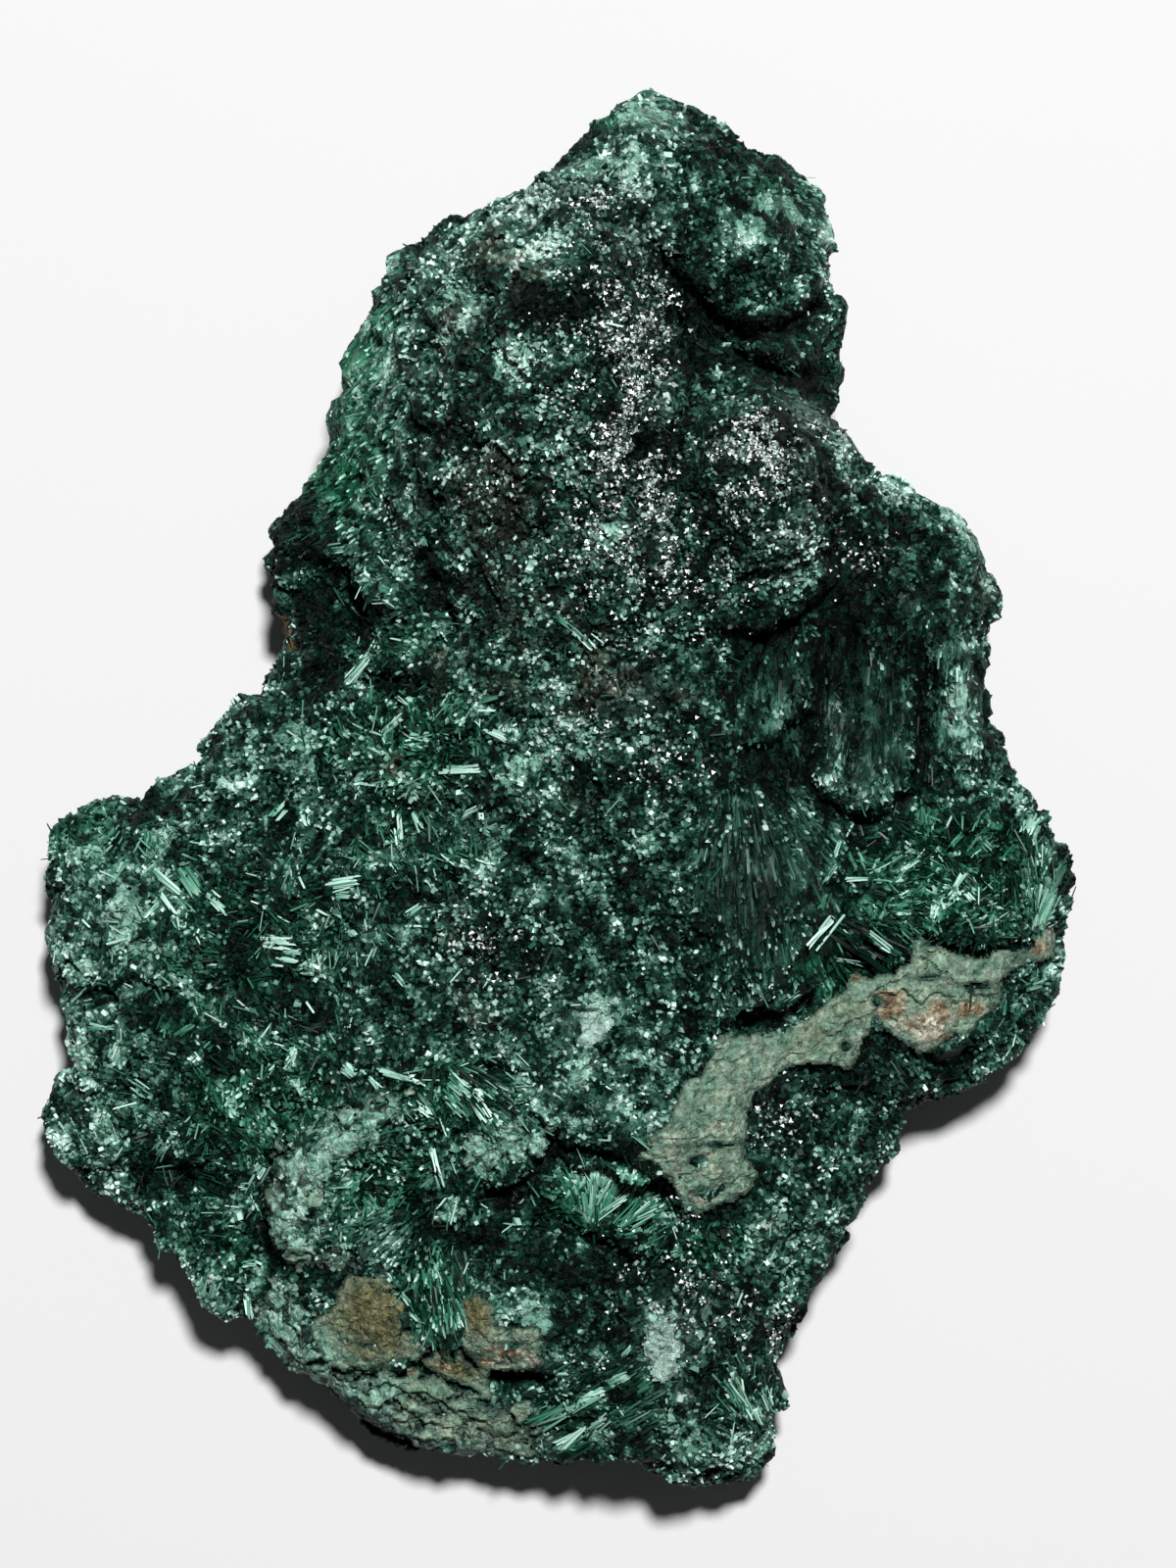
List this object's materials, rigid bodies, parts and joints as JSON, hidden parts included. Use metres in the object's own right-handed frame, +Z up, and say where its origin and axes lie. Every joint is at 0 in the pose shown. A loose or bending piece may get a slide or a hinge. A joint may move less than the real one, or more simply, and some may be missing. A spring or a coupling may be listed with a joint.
{
  "type": "fibrous malachite specimen",
  "caption": "Natural hand specimen of fibrous malachite: a high ridge, a dome, fluted columns and needle sprays in dark green, with mint patches and weathered rind.",
  "frame": {"origin": "middle of the specimen's length and width, in the plane of the flat face that it rests on", "axes": "+Z up from the resting face, +Y along the length towards the crown, +X to the right as seen from above"},
  "size_m": [0.0886, 0.1196, 0.0446],
  "materials": {
    "malachite": "rough"
  },
  "bodies": {
    "root": {"malachite_specimen": "malachite"}
  },
  "joints": []
}
